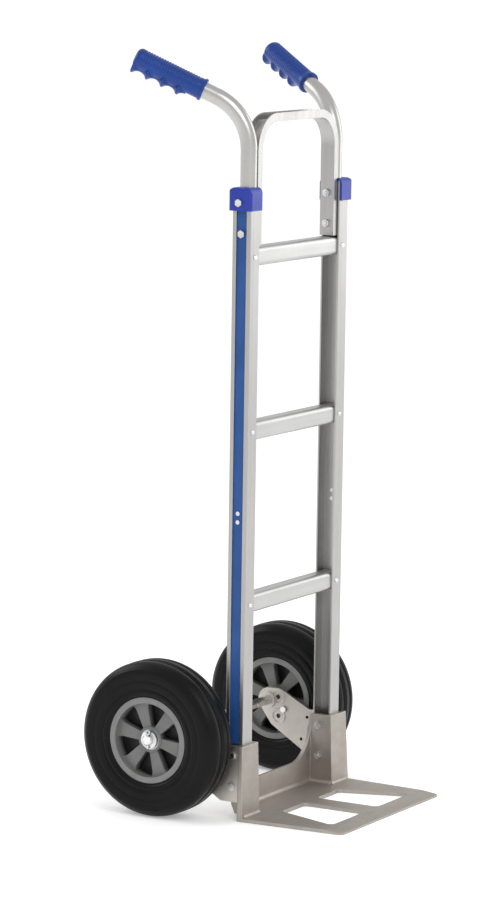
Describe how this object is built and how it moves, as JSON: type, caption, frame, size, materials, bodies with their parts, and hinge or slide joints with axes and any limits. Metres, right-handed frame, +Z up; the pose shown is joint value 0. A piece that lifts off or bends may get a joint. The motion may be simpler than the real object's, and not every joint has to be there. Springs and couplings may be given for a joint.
{
  "type": "hand truck",
  "caption": "Upright hand truck: channel rails joined by rungs, a top loop, bent handle tubes with finger grips, a cast nose plate with windows and solid-tyred wheels.",
  "frame": {"origin": "on the floor under the nose plate, at mid-width, in the plane of the rails' front face", "axes": "+X across the truck to its right as seen from the front, +Y towards the wheels and handles, +Z up"},
  "size_m": [0.4764, 0.45, 1.2325],
  "materials": {
    "rail_aluminium": "satin extruded, fine lengthwise lines",
    "rung_aluminium": "satin extruded",
    "tube_aluminium": "satin drawn tube",
    "trim_blue": "satin",
    "cap_blue": "semi-gloss moulded",
    "grip_rubber": "ribbed satin",
    "cast_metal": "as cast, rough",
    "bracket_metal": "cast, lightly smoothed",
    "axle_steel": "bright drawn",
    "fastener_steel": "bright zinc plate",
    "bearing_steel": "ground",
    "tyre_rubber": "semi-gloss",
    "hub_plastic": "moulded grey"
  },
  "bodies": {
    "frame": {"left_rail": "rail_aluminium", "right_rail": "rail_aluminium", "left_trim_strip": "trim_blue", "right_trim_strip": "trim_blue", "left_rail_cap": "cap_blue", "right_rail_cap": "cap_blue", "top_loop": "rail_aluminium", "left_handle_tube": "tube_aluminium", "right_handle_tube": "tube_aluminium", "left_grip": "grip_rubber", "right_grip": "grip_rubber", "upper_rung": "rung_aluminium", "middle_rung": "rung_aluminium", "lower_rung": "rung_aluminium", "rung_rivets": "fastener_steel", "strip_rivets": "fastener_steel", "handle_bolts": "fastener_steel", "handle_nuts": "fastener_steel", "nose_plate": "cast_metal", "foot_bolts": "fastener_steel", "foot_nuts": "fastener_steel", "left_wheel_bracket": "bracket_metal", "right_wheel_bracket": "bracket_metal", "bracket_studs": "fastener_steel", "axle": "axle_steel", "inner_washers": "fastener_steel", "outer_washers": "fastener_steel", "cotter_pins": "fastener_steel"},
    "left_wheel": {"left_tyre": "tyre_rubber", "left_hub": "hub_plastic", "left_bearings": "bearing_steel"},
    "right_wheel": {"right_tyre": "tyre_rubber", "right_hub": "hub_plastic", "right_bearings": "bearing_steel"}
  },
  "joints": [
    {"name": "left_wheel_spin", "type": "hinge", "parent": "frame", "child": "left_wheel", "pos_m": [-0.2032, 0.135, 0.127], "axis": [1, 0, 0], "continuous": true},
    {"name": "right_wheel_spin", "type": "hinge", "parent": "frame", "child": "right_wheel", "pos_m": [0.2032, 0.135, 0.127], "axis": [1, 0, 0], "continuous": true}
  ]
}
